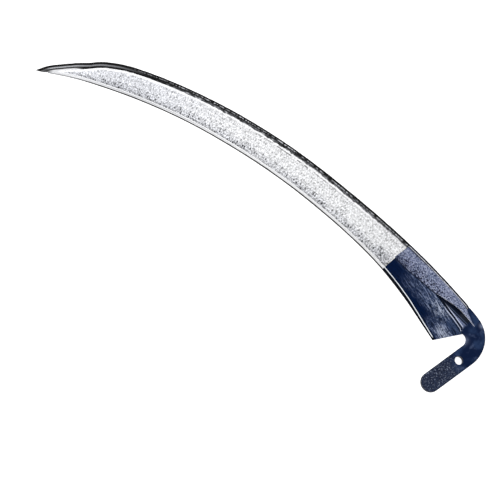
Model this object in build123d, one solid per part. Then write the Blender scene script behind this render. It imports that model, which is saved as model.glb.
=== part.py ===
from build123d import *
import math
import os

# Forged scythe blade with a hooked tang, millimetres.
# The origin is the centre of the tang's bolt hole, on the upper face that bears on the handle.
# The blade lies level, +Z up, its point towards -X. The tang's free end points to -Y and rises.
# Along the blade a place is given as (along, out, up): along = length of the edge's circle from a
# place near the beard corner, out = distance outwards from that circle, up = height over the
# blade's belly.

# ---- blade, seen from above -------------------------------------------------------------------
EDGE_RADIUS = 650.0          # the circle that the cutting edge follows
EDGE_ORIGIN = (-34.7, -9.0)  # the point of that circle from which places along it are counted
EDGE_ORIGIN_ANGLE = 87.4     # direction of the circle's radius through that point, from +X
BEARD_CORNER = (-32.9, -9.9)     # where the cutting edge meets the heel edge
NOTCH_CORNER = (-19.8, 18.9)     # inner end of the straight heel edge, beside the tang

# Peening leaves the edge a little off its circle: (along, how far out the edge lies there).
# In this table and the next, every value runs smoothly on between the stated places.
EDGE_COURSE = (
    (-40.0, -1.0),
    (12.0, -1.1),
    (50.0, 0.4),
    (95.0, 1.4),
    (145.0, 0.2),
    (190.0, -0.9),
    (290.0, -1.5),
    (345.0, -0.8),
    (440.0, -0.1),
    (470.0, 0.2),
    (500.0, -0.9),
    (520.0, -1.1),
)

# The back's course from the heel to the point: (along, out of the back, rib width, rib height)
BACK_COURSE = (
    (-14.0, 52.8, 4.6, 5.6),
    (60.0, 44.0, 4.6, 7.0),
    (130.0, 37.2, 4.8, 6.8),
    (180.0, 34.2, 5.0, 6.4),
    (260.0, 32.8, 5.2, 6.0),
    (350.0, 31.6, 5.6, 5.4),
    (410.0, 30.5, 6.0, 5.0),
    (436.0, 28.4, 6.4, 4.7),
    (466.0, 19.5, 6.8, 4.2),
    (490.0, 11.5, 7.0, 3.4),
    (503.0, 6.7, 7.0, 2.8),
    (507.0, 4.6, 5.5, 2.5),
    (511.0, 1.95, 2.95, 2.2),
    (514.4, -0.4, 0.6, 2.0),
)
NIB_START = 503.0            # the back's last places, from here on, each get a section of the rib
COURSE_POINTS = 36           # evenly spaced places that a smooth run along the blade goes through
SHEET_END = 505.0            # the sheet stops here; the rib alone forms the point
SHEET_START = -34.0          # the sheet's sweep starts here, past its slanted heel edge
RIB_TOP_INNER = 2.6          # the rib's crest runs from its outer bevel to here, from the back
RIB_BEVEL = 1.0              # bevel between the rib's outer side and its crest
RIB_UNDERCUT = 0.3           # how far the rib stands below the web's underside

# ---- sheet: web and laid-in edge strip --------------------------------------------------------
BELLY_OUT = 24.0             # the dished web is lowest this far out from the edge
BELLY_RADIUS = 300.0         # radius of the dish across the blade
WEB_THICKNESS = 1.5          # at the back
EDGE_STRIP_WIDTH = 4.2       # ground and peened strip along the edge
STRIP_THICKNESS = 1.0        # where the strip joins the web
BEVEL_WIDTH = 1.0            # whetted bevel on the strip
BEVEL_THICKNESS = 0.55       # at the bevel's inner end
EDGE_LAND = 0.12             # thickness left at the very edge

# ---- tang -------------------------------------------------------------------------------------
TANG_THICKNESS = 5.5
TANG_INNER_SIDE = 10.0       # hole centre to the side that faces the beard
TANG_OUTER_SIDE = 11.6       # hole centre to the outer side
TANG_END_CENTRE = 39.0       # hole centre to the centre of the rounded end, along the tang
TANG_LIFT = 20.0             # degrees that the tang rises from the blade's plane
LIFT_START_Y = 21.0          # the root is level beyond this line and bends up before it
LIFT_RADIUS = 12.0           # upper side of that bend
HOLE_DIAMETER = 9.0          # clearance for an M8 bolt
OUTER_BEND_RADIUS = 33.5     # outside of the hook, seen from above
NOTCH_RADIUS = 7.2           # inside of the hook
NOTCH_CENTRE_Y = 12.2
ROOT_END_X = -38.0           # the full-width root ends here, and the rib starts
ROOT_BACK_Y = 41.3           # the root's outer corner there, flush with the rib's back
TONGUE_START_X = -30.0       # the tongue grows out of the root here
TONGUE_POINT = (-71.0, 20.8)     # point of the drawn-out tongue, on the web
TONGUE_FOOT_Y = (21.9, 38.3)     # the tongue's two feet at its start
TONGUE_RIDGE_Y = 27.5
EDGE_ROUNDING = 0.9          # dressed corners along the tang

# Heel stiffener, from the paint's end to its point on the tang's root:
# (x, lip y, lip height, rib-side y, rib-side height), heights over the belly
STIFFENER_STATIONS = (
    (-128.0, 8.6, 1.5, 27.3, 2.2),
    (-110.0, 11.6, 1.8, 30.4, 4.4),
    (-92.0, 16.2, 2.1, 33.1, 6.2),
    (-73.0, 20.6, 2.7, 35.6, 6.4),
    (-60.0, 25.6, 3.3, 37.0, 6.4),
    (-50.0, 29.5, 4.3, 37.9, 6.4),
    (-40.0, 32.0, 5.9, 38.3, 6.5),
    (-28.0, 33.1, 6.3, 35.3, 6.4),
    (-19.0, 33.6, 6.0, 34.2, 6.0),
)
STIFFENER_BASE = 1.2         # underside before trimming, inside the web and the root


def bent_bar_rise(along_y):
    """Height of the tang's upper face over its level root, along_y before the bend's start."""
    lift = math.radians(TANG_LIFT)
    bend_end = LIFT_RADIUS * math.sin(lift)
    return LIFT_RADIUS * (1 - math.cos(lift)) + (along_y - bend_end) * math.tan(lift)


BELLY_Z = -TANG_THICKNESS - bent_bar_rise(LIFT_START_Y)    # the belly's height in the part's frame
EDGE_CENTRE = (
    EDGE_ORIGIN[0] - EDGE_RADIUS * math.cos(math.radians(EDGE_ORIGIN_ANGLE)),
    EDGE_ORIGIN[1] - EDGE_RADIUS * math.sin(math.radians(EDGE_ORIGIN_ANGLE)),
)


def at(along, out, up=0.0):
    """The point of the part's frame that lies at (along, out, up) on the blade."""
    angle = math.radians(EDGE_ORIGIN_ANGLE) + along / EDGE_RADIUS
    radius = EDGE_RADIUS + out
    x = EDGE_CENTRE[0] + radius * math.cos(angle)
    y = EDGE_CENTRE[1] + radius * math.sin(angle)
    return Vector(x, y, BELLY_Z + up)


def underside(out):
    """Height of the web's underside over the belly."""
    return BELLY_RADIUS - math.sqrt(BELLY_RADIUS**2 - (out - BELLY_OUT) ** 2)


def slope(before, here, after):
    """Slope of a smooth monotone curve at the middle one of three (place, value) points."""
    rise_in = (here[1] - before[1]) / (here[0] - before[0])
    rise_out = (after[1] - here[1]) / (after[0] - here[0])
    if rise_in * rise_out <= 0:
        return 0.0
    return 2 * rise_in * rise_out / (rise_in + rise_out)


def course(table, along, column):
    """One column of a table, carried smoothly between its stated places along the blade."""
    points = [(row[0], row[column]) for row in table]
    index = 0
    while index < len(points) - 2 and along > points[index + 1][0]:
        index += 1
    left, right = points[index], points[index + 1]
    span = right[0] - left[0]
    chord = (right[1] - left[1]) / span
    left_slope = slope(points[index - 1], left, right) if index > 0 else chord
    last = index + 2 == len(points)
    right_slope = chord if last else slope(left, right, points[index + 2])
    t = (along - left[0]) / span
    ease = t * t * (3 - 2 * t)
    value = left[1] + (right[1] - left[1]) * ease
    value += span * left_slope * t * (1 - t) ** 2
    value -= span * right_slope * t * t * (1 - t)
    return value


def rib_section(along):
    """The rib's outline across the blade at one place."""
    back, rib_width, height = (course(BACK_COURSE, along, column) for column in (1, 2, 3))
    foot = back - rib_width
    bottom = underside(back - rib_width / 2) - RIB_UNDERCUT
    crest = min(RIB_TOP_INNER, 0.6 * rib_width)
    bevel = min(RIB_BEVEL, 0.3 * rib_width)
    corners = (
        (back - 0.3 * bevel, bottom),
        (back, bottom + bevel),
        (back, height - bevel),
        (back - bevel, height),
        (back - crest, height - 0.2 * bevel),
        (foot, underside(foot) + WEB_THICKNESS + 0.2 * bevel),
        (foot, bottom),
    )
    return Wire.make_polygon([at(along, out, up) for out, up in corners], close=True)


def even_places(first, last):
    """Evenly spaced places along the edge, both ends included."""
    return [first + (last - first) * index / (COURSE_POINTS - 1) for index in range(COURSE_POINTS)]


def back_rib():
    """The stiffening rib: a tapering bar drawn along the back from the tang's root to the point."""
    places = even_places(BACK_COURSE[0][0], NIB_START)
    places += [row[0] for row in BACK_COURSE if row[0] > NIB_START]
    rib = Solid.make_loft([rib_section(along) for along in places])
    return rib & Pos(ROOT_END_X - 500, 0, 0) * Box(1000, 1000, 100)


def sheet_face(out, thickness, side):
    """A section point near the edge: side is +1 on the upper face and -1 on the lower."""
    middle = underside(out) + STRIP_THICKNESS / 2
    return (out, BELLY_Z + middle + side * thickness / 2)


def strip_section():
    """Section of the edge strip: the edge's land, the whetted bevels and the ground faces."""
    corners = [
        sheet_face(0, EDGE_LAND, -1),
        sheet_face(0, EDGE_LAND, 1),
        sheet_face(BEVEL_WIDTH, BEVEL_THICKNESS, 1),
        sheet_face(EDGE_STRIP_WIDTH, STRIP_THICKNESS, 1),
        sheet_face(EDGE_STRIP_WIDTH, STRIP_THICKNESS, -1),
        sheet_face(BEVEL_WIDTH, BEVEL_THICKNESS, -1),
    ]
    return make_face(Polyline(*corners, close=True))


def web_section():
    """Section of the dished web, from the edge strip to a little past the back."""
    wide = BACK_COURSE[0][1] + 8
    seam_top = sheet_face(EDGE_STRIP_WIDTH, STRIP_THICKNESS, 1)
    seam_bottom = sheet_face(EDGE_STRIP_WIDTH, STRIP_THICKNESS, -1)
    back_top = (wide, BELLY_Z + underside(wide) + WEB_THICKNESS)
    back_bottom = (wide, BELLY_Z + underside(wide))
    belly_top = (BELLY_OUT, BELLY_Z + (STRIP_THICKNESS + WEB_THICKNESS) / 2)
    belly_bottom = (BELLY_OUT, BELLY_Z)
    outline = [
        Line(seam_bottom, seam_top),
        ThreePointArc(seam_top, belly_top, back_top),
        Line(back_top, back_bottom),
        ThreePointArc(back_bottom, belly_bottom, seam_bottom),
    ]
    return make_face(outline)


def swept_along_edge(section):
    """A section carried along the edge; its own first coordinate is the distance from the edge."""
    places = even_places(SHEET_START, SHEET_END + 5)
    edge = Spline([flat(at(along, course(EDGE_COURSE, along, 1))) for along in places])
    start = edge @ 0
    outwards = start - Vector(*EDGE_CENTRE)
    plane = Plane(origin=start, x_dir=outwards, z_dir=-(edge % 0))
    return sweep(plane * section, path=edge)


def sheet_outline():
    """Tall block over the sheet: edge, heel edge, and a curve under the middle of the rib."""
    places = even_places(BACK_COURSE[0][0], SHEET_END)
    under_rib = [course(BACK_COURSE, along, 1) - course(BACK_COURSE, along, 2) / 2
                 for along in places]
    inside = [flat(at(along, out)) for along, out in zip(places, under_rib)]
    beard = Vector(*BEARD_CORNER)
    heel = (Vector(*NOTCH_CORNER) - beard).normalized()
    clear_of_edge = -5.0
    below_beard = beard + heel * clear_of_edge
    heel_top = beard + heel * 48
    below_point = flat(at(SHEET_END, clear_of_edge))
    below_middle = flat(at(SHEET_END / 2, clear_of_edge))
    outline = [
        Line(below_beard, heel_top),
        Line(heel_top, inside[0]),
        Spline(inside),
        Line(inside[-1], below_point),
        ThreePointArc(below_point, below_middle, below_beard),
    ]
    return Pos(0, 0, -50) * extrude(make_face(outline), 100)


def flat(point):
    """A point's plan position."""
    return Vector(point.X, point.Y, 0)


def tang_profile():
    """Side view of the bar: level at the root, bent up once, then straight to its end."""
    root_y = 50.0
    run = 75.0
    bottom_radius = LIFT_RADIUS + TANG_THICKNESS
    top_start = (LIFT_START_Y, BELLY_Z + TANG_THICKNESS)
    bottom_start = (LIFT_START_Y, BELLY_Z)
    top_bend = JernArc(start=top_start, tangent=(-1, 0), radius=LIFT_RADIUS, arc_size=-TANG_LIFT)
    bottom_bend = JernArc(start=bottom_start, tangent=(-1, 0), radius=bottom_radius,
                          arc_size=-TANG_LIFT)
    top_end = top_bend @ 1 + (top_bend % 1) * run
    bottom_end = bottom_bend @ 1 + (bottom_bend % 1) * run
    outline = [
        Line((root_y, BELLY_Z + TANG_THICKNESS), top_start),
        top_bend,
        Line(top_bend @ 1, top_end),
        Line(top_end, bottom_end),
        Line(bottom_end, bottom_bend @ 1),
        bottom_bend,
        Line(bottom_start, (root_y, BELLY_Z)),
        Line((root_y, BELLY_Z), (root_y, BELLY_Z + TANG_THICKNESS)),
    ]
    return Plane.YZ * make_face(outline)


def hook_outline():
    """Plan of the root and the hook, from where the sides run straight up to the root's end."""
    outer_centre = (TANG_OUTER_SIDE - OUTER_BEND_RADIUS, 8.7)
    outer_top_y = outer_centre[1] + OUTER_BEND_RADIUS
    diagonal = OUTER_BEND_RADIUS * math.sqrt(0.5)
    notch_x = -TANG_INNER_SIDE - NOTCH_RADIUS
    shoulder = Vector(NOTCH_CORNER[0] - 6.2, TONGUE_FOOT_Y[0])
    outline = [
        Line((TANG_OUTER_SIDE, 0), (TANG_OUTER_SIDE, outer_centre[1])),
        ThreePointArc((TANG_OUTER_SIDE, outer_centre[1]),
                      (outer_centre[0] + diagonal, outer_centre[1] + diagonal),
                      (outer_centre[0], outer_top_y)),
        TangentArc((outer_centre[0], outer_top_y), (ROOT_END_X, ROOT_BACK_Y), tangent=(-1, 0)),
        Line((ROOT_END_X, ROOT_BACK_Y), (ROOT_END_X, TONGUE_FOOT_Y[0])),
        Line((ROOT_END_X, TONGUE_FOOT_Y[0]), shoulder),
        Line(shoulder, NOTCH_CORNER),
        ThreePointArc(NOTCH_CORNER, (notch_x, NOTCH_CENTRE_Y + NOTCH_RADIUS),
                      (notch_x + NOTCH_RADIUS, NOTCH_CENTRE_Y)),
        Line((-TANG_INNER_SIDE, NOTCH_CENTRE_Y), (-TANG_INNER_SIDE, 0)),
        Line((-TANG_INNER_SIDE, 0), (TANG_OUTER_SIDE, 0)),
    ]
    return make_face(outline)


def bearing_plane():
    """The plane of the tang's upper face at the bolt hole; its Y runs along the tang."""
    lift = math.radians(TANG_LIFT)
    return Plane(origin=(0, 0, 0), x_dir=(1, 0, 0), z_dir=(0, math.sin(lift), math.cos(lift)))


def straight_outline():
    """The tang's straight part on its bearing plane, with the rounded free end."""
    half = (TANG_OUTER_SIDE + TANG_INNER_SIDE) / 2
    middle = (TANG_OUTER_SIDE - TANG_INNER_SIDE) / 2
    overlap = 8.0
    outline = [
        Line((TANG_OUTER_SIDE, overlap), (-TANG_INNER_SIDE, overlap)),
        Line((-TANG_INNER_SIDE, overlap), (-TANG_INNER_SIDE, -TANG_END_CENTRE)),
        ThreePointArc((-TANG_INNER_SIDE, -TANG_END_CENTRE), (middle, -TANG_END_CENTRE - half),
                      (TANG_OUTER_SIDE, -TANG_END_CENTRE)),
        Line((TANG_OUTER_SIDE, -TANG_END_CENTRE), (TANG_OUTER_SIDE, overlap)),
    ]
    return make_face(outline)


def is_outline_edge(edge):
    """True for the long corners round the bar's plan, not its bend lines, uprights or root end."""
    start, end = edge @ 0, edge @ 1
    run = end - start
    upright = abs(run.X) < 0.01 and abs(run.Z) > 0.8 * run.length
    bend_line = abs(run.Y) < 0.01 and abs(run.X) > TANG_INNER_SIDE + TANG_OUTER_SIDE - 1
    root_end = max(start.X, end.X) < ROOT_END_X + 0.01
    return not (upright or bend_line or root_end)


def tang_bar():
    """The flat bar: level root, hook and lifted straight part, with dressed corners and the hole."""
    across = 120.0
    slab = extrude(tang_profile(), across, both=True)
    hook = slab & (Pos(0, 0, -50) * extrude(hook_outline(), 100))
    straight = slab & extrude(bearing_plane() * straight_outline(), 30, both=True)
    bar = hook + straight
    bar = fillet([edge for edge in bar.edges() if is_outline_edge(edge)], EDGE_ROUNDING)
    return bar - bearing_plane() * Cylinder(HOLE_DIAMETER / 2, 40)


def tongue():
    """The tang's drawn-out point: a three-sided spike that lies on the web under the stiffener."""
    foot_low, foot_high = TONGUE_FOOT_Y
    low = BELLY_Z + STIFFENER_BASE
    base = Wire.make_polygon(
        [(TONGUE_START_X, foot_low, low),
         (TONGUE_START_X, foot_high, low),
         (TONGUE_START_X, TONGUE_RIDGE_Y, BELLY_Z + TANG_THICKNESS)], close=True)
    point = Vertex(*TONGUE_POINT, low)
    return Solid.make_loft([base, point])


def stiffener_section(x, lip_y, lip_height, rib_y, rib_height):
    """One cross-section of the stiffener, a sloping leaf between its lip and the rib."""
    low = BELLY_Z + STIFFENER_BASE
    return Wire.make_polygon(
        [(x, lip_y, low),
         (x, lip_y, BELLY_Z + lip_height),
         (x, rib_y, BELLY_Z + rib_height),
         (x, rib_y, low)], close=True)


def stiffener():
    """The stiffener before it is fitted to the pieces under it."""
    return Solid.make_loft([stiffener_section(*station) for station in STIFFENER_STATIONS], ruled=True)


def all_parts():
    """Every piece by name, each fitted to its neighbours so that they touch and never overlap."""
    rib = back_rib()
    bar = tang_bar()
    outline = sheet_outline()
    web = (swept_along_edge(web_section()) & outline) - rib - bar
    strip = (swept_along_edge(strip_section()) & outline) - rib
    tang = bar + (tongue() - web - rib)
    return {
        "back_rib": rib,
        "blade_web": web,
        "cutting_edge": strip,
        "tang": tang,
        "heel_stiffener": stiffener() - web - rib - tang,
    }


os.makedirs("parts", exist_ok=True)
for name, shape in all_parts().items():
    export_step(shape, f"parts/{name}.step")
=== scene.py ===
import math

import bpy
import numpy as np
from mathutils import Matrix, Vector


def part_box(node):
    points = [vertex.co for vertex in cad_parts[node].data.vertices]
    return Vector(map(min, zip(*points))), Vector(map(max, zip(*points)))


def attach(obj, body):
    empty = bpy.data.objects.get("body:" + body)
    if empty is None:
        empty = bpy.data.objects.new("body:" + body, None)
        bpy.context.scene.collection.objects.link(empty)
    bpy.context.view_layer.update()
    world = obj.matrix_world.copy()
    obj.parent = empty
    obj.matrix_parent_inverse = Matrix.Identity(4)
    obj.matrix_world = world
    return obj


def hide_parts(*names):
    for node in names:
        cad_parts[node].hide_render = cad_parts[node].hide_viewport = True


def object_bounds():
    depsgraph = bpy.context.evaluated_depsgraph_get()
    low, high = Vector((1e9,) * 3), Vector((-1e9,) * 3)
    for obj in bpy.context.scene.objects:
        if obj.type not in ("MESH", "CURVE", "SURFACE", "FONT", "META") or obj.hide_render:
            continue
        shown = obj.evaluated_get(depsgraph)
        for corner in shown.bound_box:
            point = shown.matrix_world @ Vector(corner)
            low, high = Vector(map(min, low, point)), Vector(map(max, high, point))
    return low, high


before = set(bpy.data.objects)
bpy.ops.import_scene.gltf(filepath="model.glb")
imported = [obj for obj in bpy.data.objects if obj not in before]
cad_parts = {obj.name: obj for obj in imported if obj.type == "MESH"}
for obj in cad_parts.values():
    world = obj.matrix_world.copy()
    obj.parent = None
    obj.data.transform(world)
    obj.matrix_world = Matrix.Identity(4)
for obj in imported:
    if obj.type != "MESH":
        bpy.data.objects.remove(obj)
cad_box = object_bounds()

# Looks of a forged scythe blade. Everything is in metres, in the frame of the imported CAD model.
# Along the blade a place is (along, out, z): along is the length of cutting edge from the beard
# corner at the heel, out is the distance outwards from the edge, z is the height.

MM = 0.001
PAINT_END = 91 * MM          # the blue enamel reaches this far along the blade, in a straight line
RIB_COVER = 1.6 * MM         # how far the web runs on under the foot of the rib


# ---- reading the CAD frame ---------------------------------------------------------------------

def node_mesh(name):
    """A CAD node's points and triangles as arrays."""
    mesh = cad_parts[name].data
    mesh.calc_loop_triangles()
    points = np.empty(len(mesh.vertices) * 3)
    mesh.vertices.foreach_get("co", points)
    corners = np.empty(len(mesh.loop_triangles) * 3, dtype=np.int32)
    mesh.loop_triangles.foreach_get("vertices", corners)
    return points.reshape(-1, 3), corners.reshape(-1, 3)


def cut(mesh, origin, normal):
    """The line pieces along which a plane cuts a mesh, as an array (count, 2 ends, 3)."""
    points, triangles = mesh
    height = ((points - np.asarray(origin)) @ np.asarray(normal))[triangles]
    above = height > 0
    crossed = above.any(1) & ~above.all(1)
    height, above = height[crossed], above[crossed]
    corner = points[triangles[crossed]]
    ends, used = [], []
    for first, second in ((0, 1), (1, 2), (2, 0)):
        share = height[:, first] / (height[:, first] - height[:, second] + 1e-30)
        ends.append(corner[:, first] + (corner[:, second] - corner[:, first]) * share[:, None])
        used.append(above[:, first] != above[:, second])
    ends = np.stack(ends, 1)
    order = np.argsort(~np.stack(used, 1), axis=1, kind="stable")[:, :2]
    return np.take_along_axis(ends, order[:, :, None], 1)


def fit_circle(points):
    """Centre and radius of the circle nearest to some plan points."""
    x, y = points[:, 0], points[:, 1]
    terms = np.column_stack([2 * x, 2 * y, np.ones(len(x))])
    a, b, c = np.linalg.lstsq(terms, x * x + y * y, rcond=None)[0]
    return np.array([a, b]), math.sqrt(c + a * a + b * b)


def edge_circle(points):
    """Centre and radius of the circle that the cutting edge follows, from the strip's points."""
    centre, _ = fit_circle(points)
    for _ in range(4):
        angle = np.arctan2(points[:, 1] - centre[1], points[:, 0] - centre[0])
        radius = np.hypot(*(points[:, :2] - centre).T)
        share = (angle - angle.min()) / (angle.max() - angle.min())
        bins = np.minimum((share * 40).astype(int), 39)
        inner = [np.where(bins == k, radius, np.inf).argmin() for k in np.unique(bins)]
        centre, edge_radius = fit_circle(points[inner])
    return centre, edge_radius


NOTCH_RUN = 11.5 * MM        # places along the blade are counted from this far past the notch
STRIP_MESH = node_mesh("cutting_edge")
WEB_MESH = node_mesh("blade_web")
CENTRE, EDGE_RADIUS = edge_circle(STRIP_MESH[0])
HEEL_FOOT = STRIP_MESH[0][STRIP_MESH[0][:, 0].argmax()]
NOTCH = WEB_MESH[0][WEB_MESH[0][:, 0].argmax()]
HEEL_ANGLE = math.atan2(NOTCH[1] - CENTRE[1], NOTCH[0] - CENTRE[0]) + NOTCH_RUN / EDGE_RADIUS
EDGE_STATIONS = np.linspace(4 * MM, 500 * MM, 80)
EDGE_SHIFT = np.zeros(80)    # how far out of its circle the edge lies at each station


def edge_radius_at(along):
    """Distance of the cutting edge from the circle's centre."""
    return EDGE_RADIUS + np.interp(along, EDGE_STATIONS, EDGE_SHIFT)


def place(along, out):
    """Plan position of places on the blade."""
    angle = HEEL_ANGLE + along / EDGE_RADIUS
    radius = edge_radius_at(along) + out
    return CENTRE[0] + radius * np.cos(angle), CENTRE[1] + radius * np.sin(angle)


def unplace(x, y):
    """Length along the blade and distance out of a plan position."""
    along = (np.arctan2(y - CENTRE[1], x - CENTRE[0]) - HEEL_ANGLE) * EDGE_RADIUS
    return along, np.hypot(x - CENTRE[0], y - CENTRE[1]) - edge_radius_at(along)


def radial_cut(mesh, along):
    """A mesh's section across the blade, as (count, 2 ends, (out, z))."""
    angle = HEEL_ANGLE + along / EDGE_RADIUS
    direction = np.array([math.cos(angle), math.sin(angle), 0.0])
    across = np.array([-direction[1], direction[0], 0.0])
    pieces = cut(mesh, [CENTRE[0], CENTRE[1], 0.0], across)
    out = (pieces[..., :2] - CENTRE) @ direction[:2] - edge_radius_at(along)
    pieces = np.stack([out, pieces[..., 2]], -1)
    return pieces[(out > -0.1).all(1)]


EDGE_SHIFT = np.array([radial_cut(STRIP_MESH, station)[..., 0].min() for station in EDGE_STATIONS])


def reach(pieces, places):
    """Lowest and highest second coordinate of a section at each first coordinate in places."""
    first, second = pieces[:, 0], pieces[:, 1]
    swap = first[:, 0] > second[:, 0]
    left = np.where(swap[:, None], second, first)
    right = np.where(swap[:, None], first, second)
    run = np.maximum(right[:, 0] - left[:, 0], 1e-12)
    share = (places[:, None] - left[None, :, 0]) / run
    height = left[None, :, 1] + (right[:, 1] - left[:, 1]) * share
    inside = (share >= -1e-6) & (share <= 1 + 1e-6) & (right[:, 0] - left[:, 0] > 1e-9)
    low = np.where(inside, height, np.inf).min(1)
    high = np.where(inside, height, -np.inf).max(1)
    return low, high


class SheetProfile:
    """Heights of the sheet's two faces over the distance from the edge; it is the same all along."""

    def __init__(self, along):
        web = radial_cut(WEB_MESH, along)
        strip = radial_cut(STRIP_MESH, along)
        self.strip_width = strip[..., 0].max()
        flush = web[..., 0].max() - 2 * MM
        self.out = np.linspace(0.05 * MM, flush, 160)
        low, high = reach(np.concatenate([strip, web]), self.out)
        self.low, self.high = low, high

    def _at(self, heights, out):
        slope = (heights[-1] - heights[-9]) / (self.out[-1] - self.out[-9])
        beyond = np.maximum(out - self.out[-1], 0)
        return np.interp(out, self.out, heights) + beyond * slope

    def top(self, out):
        return self._at(self.high, out)

    def bottom(self, out):
        return self._at(self.low, out)


def rib_ring(pieces, count):
    """A rib section's outline as count points evenly spaced round it, from its lower outer corner."""
    points = pieces.reshape(-1, 2)
    middle = (points.min(0) + points.max(0)) / 2
    turn = np.arctan2(points[:, 1] - middle[1], points[:, 0] - middle[0])
    points = points[np.argsort(turn, kind="stable")]
    start = (points[:, 0] - points[:, 1]).argmax()
    points = np.roll(points, -start, axis=0)
    points = np.vstack([points, points[:1]])
    walked = np.concatenate([[0], np.cumsum(np.hypot(*np.diff(points, axis=0).T))])
    steps = np.linspace(0, walked[-1], count, endpoint=False)
    return np.column_stack([np.interp(steps, walked, points[:, axis]) for axis in (0, 1)])


class BorderLine:
    """The lower border in y of a node's part between two x places, as a function of x."""

    def __init__(self, mesh, start, end, count=60):
        self.x = np.linspace(start, end, count)
        sections = [cut(mesh, [x, 0, 0], [1, 0, 0])[..., 1:] for x in self.x]
        self.y = np.array([section[..., 0].min() for section in sections])
        crowns = [section.reshape(-1, 2) for section in sections]
        crown_y = np.array([crown[crown[:, 1].argmax(), 0] for crown in crowns])
        sharp = self.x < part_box("back_rib")[1].x - 1 * MM
        self.crown_line = np.polyfit(self.x[sharp], crown_y[sharp], 1)

    def below(self, x, y):
        """How far places lie below the border; places off its ends count as further away."""
        off = np.maximum(self.x[0] - x, 0) + np.maximum(x - self.x[-1], 0)
        return np.interp(x, self.x, self.y) - y + 4 * off

    def above_crown(self, x, y):
        """How far places lie above the straight line of the part's ridge."""
        return y - np.polyval(self.crown_line, x)


TANG_MESH = node_mesh("tang")
ROOT_TOP = cut(TANG_MESH, [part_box("back_rib")[1].x + 4 * MM, 0, 0], [1, 0, 0])[..., 2].max()
LEAF_MESH = node_mesh("heel_stiffener")
TONGUE_END = NOTCH[0] - 4 * MM
TONGUE_LINE = BorderLine(TANG_MESH, TANG_MESH[0][:, 0].min() + 0.5 * MM, TONGUE_END)
LEAF_LINE = BorderLine(LEAF_MESH, LEAF_MESH[0][:, 0].min() + 0.5 * MM,
                       LEAF_MESH[0][:, 0].max() - 0.5 * MM)


def root_share(x):
    """0 at the middle of the tongue's length, 1 where it meets the bar."""
    return ease((x - TONGUE_LINE.x[0] - 10 * MM) / (14 * MM))


# ---- repeatable unevenness ---------------------------------------------------------------------

def cell_random(i, j, salt):
    """A repeatable random number from 0 to 1 for each whole-numbered cell."""
    mixed = (i.astype(np.int64) * 374761393 + j.astype(np.int64) * 668265263 + salt * 974634777)
    mixed &= 0x7FFFFFFF
    mixed = ((mixed ^ (mixed >> 13)) * 1274126177) & 0x7FFFFFFF
    return ((mixed ^ (mixed >> 16)) & 0xFFFF) / 65535.0


def smooth_noise(x, y, salt):
    """Value noise from -1 to 1 with cells of size 1."""
    i, j = np.floor(x), np.floor(y)
    u, v = x - i, y - j
    u, v = u * u * (3 - 2 * u), v * v * (3 - 2 * v)
    low = cell_random(i, j, salt) * (1 - u) + cell_random(i + 1, j, salt) * u
    high = cell_random(i, j + 1, salt) * (1 - u) + cell_random(i + 1, j + 1, salt) * u
    return (low * (1 - v) + high * v) * 2 - 1


def rough_noise(x, y, salt, octaves=3):
    """Layered value noise, about -1 to 1."""
    total, size = 0, 1.0
    for octave in range(octaves):
        total = total + size * smooth_noise(x * 2**octave, y * 2**octave, salt + octave)
        size *= 0.5
    return total / 1.75


def dents(x, y, pitch, radius, salt, share=1.0):
    """Depth (0 to 1) of a field of round hammer dents, one to a cell in a share of the cells."""
    depth = np.zeros_like(x)
    column, row = np.floor(x / pitch[0]), np.floor(y / pitch[1])
    for di in (-1, 0, 1):
        for dj in (-1, 0, 1):
            i, j = column + di, row + dj
            centre_x = (i + 0.25 + 0.5 * cell_random(i, j, salt)) * pitch[0]
            centre_y = (j + 0.25 + 0.5 * cell_random(i, j, salt + 1)) * pitch[1]
            size = radius * (0.7 + 0.6 * cell_random(i, j, salt + 2))
            present = cell_random(i, j, salt + 3) < share
            gone = ((x - centre_x) ** 2 + (y - centre_y) ** 2) / size**2
            strength = 0.5 + 0.5 * cell_random(i, j, salt + 4)
            depth = np.maximum(depth, np.where(present & (gone < 1), strength * (1 - gone) ** 2, 0))
    return depth


def ease(x):
    """0 to 1 with soft ends."""
    x = np.clip(x, 0, 1)
    return x * x * (3 - 2 * x)


# ---- mesh making -------------------------------------------------------------------------------

def ring_mesh(name, rings, values):
    """A closed mesh over rings of points (rings, round, 3), with named numbers at each point."""
    count, around = rings.shape[:2]
    index = np.arange(count * around).reshape(count, around)
    following = np.roll(index, -1, axis=1)
    sides = np.stack([index[:-1], following[:-1], following[1:], index[1:]], -1).reshape(-1, 4)
    half = around // 2
    faces = [sides]
    for ring, flip in ((index[0], True), (index[-1], False)):
        low, high = ring[:half], ring[::-1][:half]
        cap = np.stack([low[:-1], low[1:], high[1:], high[:-1]], -1)
        faces.append(cap[:, ::-1] if flip else cap)
    faces = np.concatenate(faces)
    mesh = bpy.data.meshes.new(name)
    mesh.from_pydata(rings.reshape(-1, 3).tolist(), [], faces.tolist())
    for key, numbers in values.items():
        attribute = mesh.attributes.new(key, "FLOAT", "POINT")
        attribute.data.foreach_set("value", np.asarray(numbers, np.float32).ravel())
    mesh.polygons.foreach_set("use_smooth", np.ones(len(mesh.polygons), dtype=bool))
    mesh.update()
    piece = bpy.data.objects.new(name, mesh)
    bpy.context.scene.collection.objects.link(piece)
    make_outward(piece)
    return piece


def make_outward(piece):
    """Turns a closed mesh's faces to look outwards."""
    mesh = piece.data
    mesh.calc_loop_triangles()
    points = np.array([vertex.co for vertex in mesh.vertices])
    corners = np.array([triangle.vertices for triangle in mesh.loop_triangles])
    a, b, c = (points[corners[:, k]] for k in range(3))
    if np.einsum("ij,ij->i", a, np.cross(b, c)).sum() < 0:
        mesh.flip_normals()


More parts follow.
